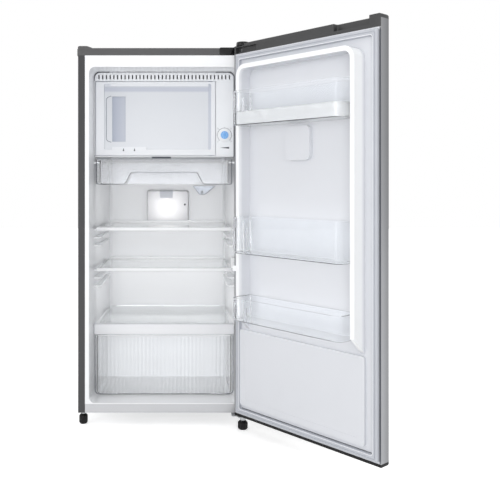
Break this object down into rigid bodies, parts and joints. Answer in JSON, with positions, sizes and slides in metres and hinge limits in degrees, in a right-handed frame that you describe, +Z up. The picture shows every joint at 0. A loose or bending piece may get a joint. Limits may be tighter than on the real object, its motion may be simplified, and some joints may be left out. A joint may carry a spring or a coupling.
{
  "type": "single door refrigerator",
  "caption": "Upright single door refrigerator with the door open: inner freezer box, chiller tray, glass shelves, crisper drawer and door bins.",
  "frame": {"origin": "middle of the footprint, open door included, on the floor", "axes": "-Y out of the cabinet's front, +X towards the hinge side, +Z up"},
  "size_m": [0.8562, 0.9772, 1.187],
  "materials": {
    "cabinet_steel": "satin",
    "galvanised_steel": "satin",
    "dark_cap": "gloss",
    "grey_strip": "satin",
    "liner_plastic": "satin",
    "foam": "matt",
    "zinc_steel": "satin",
    "black_plastic": "matt",
    "white_plastic": "gloss",
    "freezer_door_plastic": "gloss",
    "aluminium_sheet": "satin",
    "ice_plastic": "satin",
    "control_plastic": "matt",
    "dial_blue": "gloss",
    "clear_plastic": "gloss",
    "shelf_glass": "gloss",
    "lamp_plastic": "satin",
    "bulb_glass": "gloss",
    "grey_pipe": "matt",
    "compressor_black": "satin",
    "rubber": "matt",
    "condenser_black": "satin",
    "copper": "satin",
    "door_steel": "brushed",
    "gasket_rubber": "matt"
  },
  "bodies": {
    "cabinet": {"left_side_panel": "cabinet_steel", "right_side_panel": "cabinet_steel", "back_panel": "galvanised_steel", "chamber_plate": "galvanised_steel", "base_pan": "galvanised_steel", "bottom_front_panel": "grey_strip", "top_cap": "dark_cap", "inner_liner": "liner_plastic", "insulation_foam": "foam", "top_hinge": "zinc_steel", "bottom_hinge": "zinc_steel", "hinge_cover": "dark_cap", "cabinet_screws": "zinc_steel", "rear_feet": "black_plastic", "freezer_frame": "white_plastic", "evaporator": "aluminium_sheet", "ice_tray": "ice_plastic", "thermostat": "control_plastic", "chiller_rails": "white_plastic", "drain_funnel": "clear_plastic", "drain_tube": "grey_pipe", "lamp_cover": "lamp_plastic", "lamp_bulb": "bulb_glass", "lamp_holder": "black_plastic", "crisper_cover_glass": "shelf_glass", "crisper_cover_frame": "white_plastic", "door_switch": "white_plastic", "compressor": "compressor_black", "compressor_grommets": "rubber", "relay_cover": "black_plastic", "evaporation_tray": "black_plastic", "condenser_tube": "condenser_black", "condenser_wires": "condenser_black", "condenser_brackets": "black_plastic", "filter_drier": "copper", "capillary": "copper", "suction_line": "copper", "discharge_line": "copper", "cord_gland": "rubber"},
    "freezer_door": {"freezer_door": "freezer_door_plastic"},
    "thermostat_knob": {"thermostat_knob": "dial_blue"},
    "chiller_tray": {"chiller_tray": "clear_plastic"},
    "crisper_drawer": {"crisper_drawer": "clear_plastic"},
    "switch_plunger": {"switch_plunger": "white_plastic"},
    "upper_shelf": {"upper_shelf_glass": "shelf_glass", "upper_shelf_trim": "white_plastic"},
    "lower_shelf": {"lower_shelf_glass": "shelf_glass", "lower_shelf_trim": "white_plastic"},
    "door": {"door_panel": "door_steel", "door_liner": "liner_plastic", "door_foam": "foam", "door_top_cap": "dark_cap", "door_bottom_cap": "black_plastic", "door_gasket": "gasket_rubber"},
    "top_bin": {"top_bin": "clear_plastic"},
    "egg_tray": {"egg_tray": "ice_plastic"},
    "middle_bin": {"middle_bin": "clear_plastic"},
    "lower_bin": {"lower_bin": "clear_plastic"},
    "front_left_foot": {"front_left_foot": "black_plastic"},
    "front_right_foot": {"front_right_foot": "black_plastic"}
  },
  "joints": [
    {"name": "door_swing", "type": "hinge", "parent": "cabinet", "child": "door", "pos_m": [0.08541, -0.08615, 0.6], "axis": [0, 0, 1], "range_deg": [-130, 5]},
    {"name": "freezer_door_swing", "type": "hinge", "parent": "cabinet", "child": "freezer_door", "pos_m": [0.00228, 0.03635, 0.96246], "axis": [0, 0, 1], "range_deg": [0, 90]},
    {"name": "dial_turn", "type": "hinge", "parent": "cabinet", "child": "thermostat_knob", "pos_m": [0.03538, 0.03185, 0.90896], "axis": [0, 1, 0], "range_deg": [-135, 135]},
    {"name": "chiller_tray_pull", "type": "slide", "parent": "cabinet", "child": "chiller_tray", "axis": [0, -1, 0], "range_m": [0, 0.15]},
    {"name": "crisper_drawer_pull", "type": "slide", "parent": "cabinet", "child": "crisper_drawer", "axis": [0, -1, 0], "range_m": [0, 0.18]},
    {"name": "upper_shelf_pull", "type": "slide", "parent": "cabinet", "child": "upper_shelf", "axis": [0, -1, 0], "range_m": [0, 0.15]},
    {"name": "lower_shelf_pull", "type": "slide", "parent": "cabinet", "child": "lower_shelf", "axis": [0, -1, 0], "range_m": [0, 0.15]},
    {"name": "top_bin_lift", "type": "slide", "parent": "door", "child": "top_bin", "axis": [0, 0, 1], "range_m": [0, 0.03]},
    {"name": "egg_tray_lift", "type": "slide", "parent": "top_bin", "child": "egg_tray", "axis": [0, 0, 1], "range_m": [0, 0.05]},
    {"name": "middle_bin_lift", "type": "slide", "parent": "door", "child": "middle_bin", "axis": [0, 0, 1], "range_m": [0, 0.03]},
    {"name": "lower_bin_lift", "type": "slide", "parent": "door", "child": "lower_bin", "axis": [0, 0, 1], "range_m": [0, 0.03]},
    {"name": "switch_press", "type": "slide", "parent": "cabinet", "child": "switch_plunger", "axis": [0, 1, 0], "range_m": [0, 0.007], "stiffness_N_per_m": 100, "springref_m": -0.003},
    {"name": "front_left_foot_turn", "type": "hinge", "parent": "cabinet", "child": "front_left_foot", "pos_m": [-0.41109, -0.03315, 0.015], "axis": [0, 0, 1], "range_deg": [-180, 180]},
    {"name": "front_right_foot_turn", "type": "hinge", "parent": "cabinet", "child": "front_right_foot", "pos_m": [0.08541, -0.08615, 0.015], "axis": [0, 0, 1], "range_deg": [-180, 180]}
  ]
}
